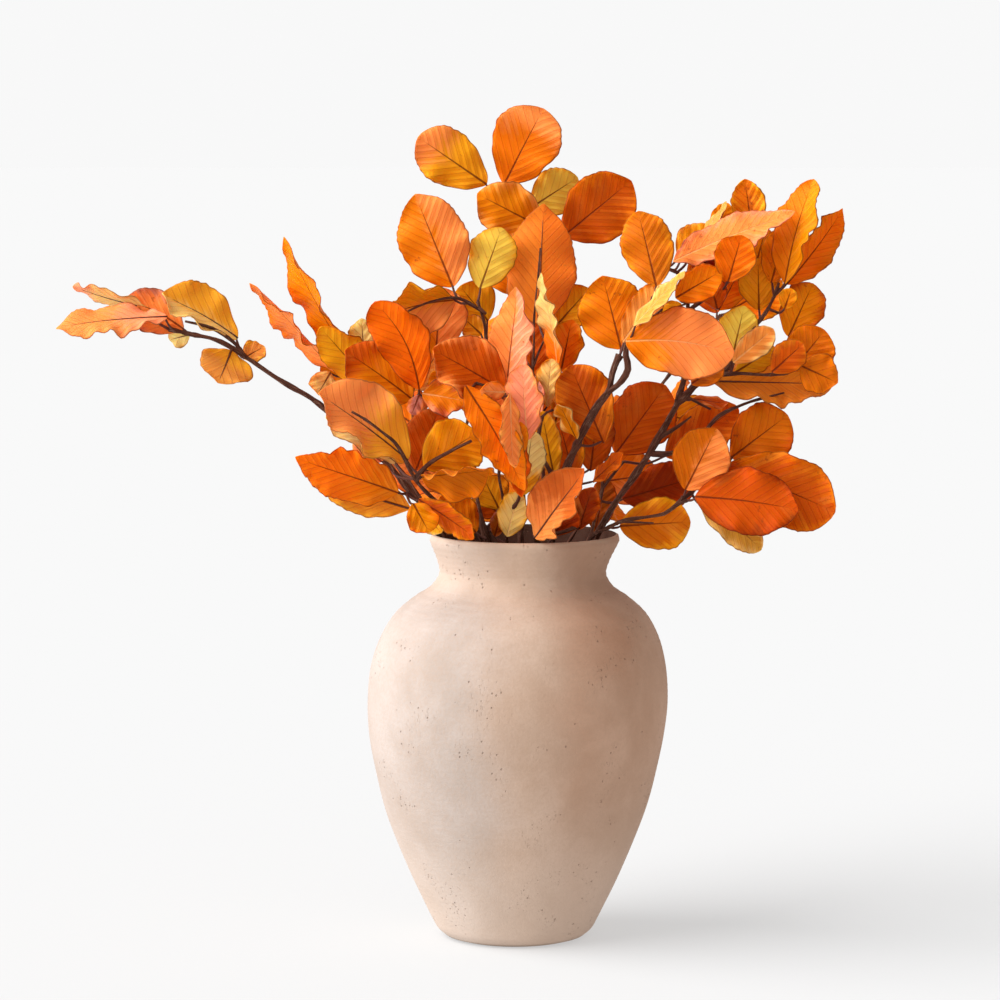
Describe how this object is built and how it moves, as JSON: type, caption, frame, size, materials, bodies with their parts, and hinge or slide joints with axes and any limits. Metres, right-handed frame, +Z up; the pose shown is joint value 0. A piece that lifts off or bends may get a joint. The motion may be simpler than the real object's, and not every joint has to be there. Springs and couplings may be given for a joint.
{
  "type": "beech branches in vase",
  "caption": "Autumn beech branches with wavy, toothed orange, amber and salmon leaves, standing in a round-shouldered clay vase with a narrow neck and a flared lip.",
  "frame": {"origin": "centre of the vase's foot, on the surface it stands on", "axes": "+Z up, the front of the arrangement faces -Y, and the long low branch reaches towards -X"},
  "size_m": [0.5802, 0.2881, 0.6193],
  "materials": {
    "clay": "matte",
    "bark": "matte",
    "leaf_orange": "satin",
    "leaf_amber": "satin",
    "leaf_red_orange": "satin",
    "leaf_salmon": "satin",
    "leaf_brown": "satin"
  },
  "bodies": {
    "root": {"vase": "clay", "far_left_branch": "leaf_amber", "left_low_spray": "leaf_red_orange", "left_front_branch": "leaf_orange", "left_upper_branch": "leaf_orange", "left_centre_branch": "leaf_orange", "upper_left_branch": "leaf_amber", "top_branch": "leaf_orange", "centre_branch": "leaf_amber", "centre_front_branch": "leaf_salmon", "front_left_spray": "leaf_brown", "front_right_spray": "leaf_salmon", "centre_right_branch": "leaf_orange", "right_main_branch": "leaf_orange", "right_low_branch": "leaf_red_orange", "right_thin_branch": "leaf_brown", "back_left_branch": "leaf_amber", "back_centre_branch": "leaf_amber", "back_right_branch": "leaf_orange"}
  },
  "joints": []
}
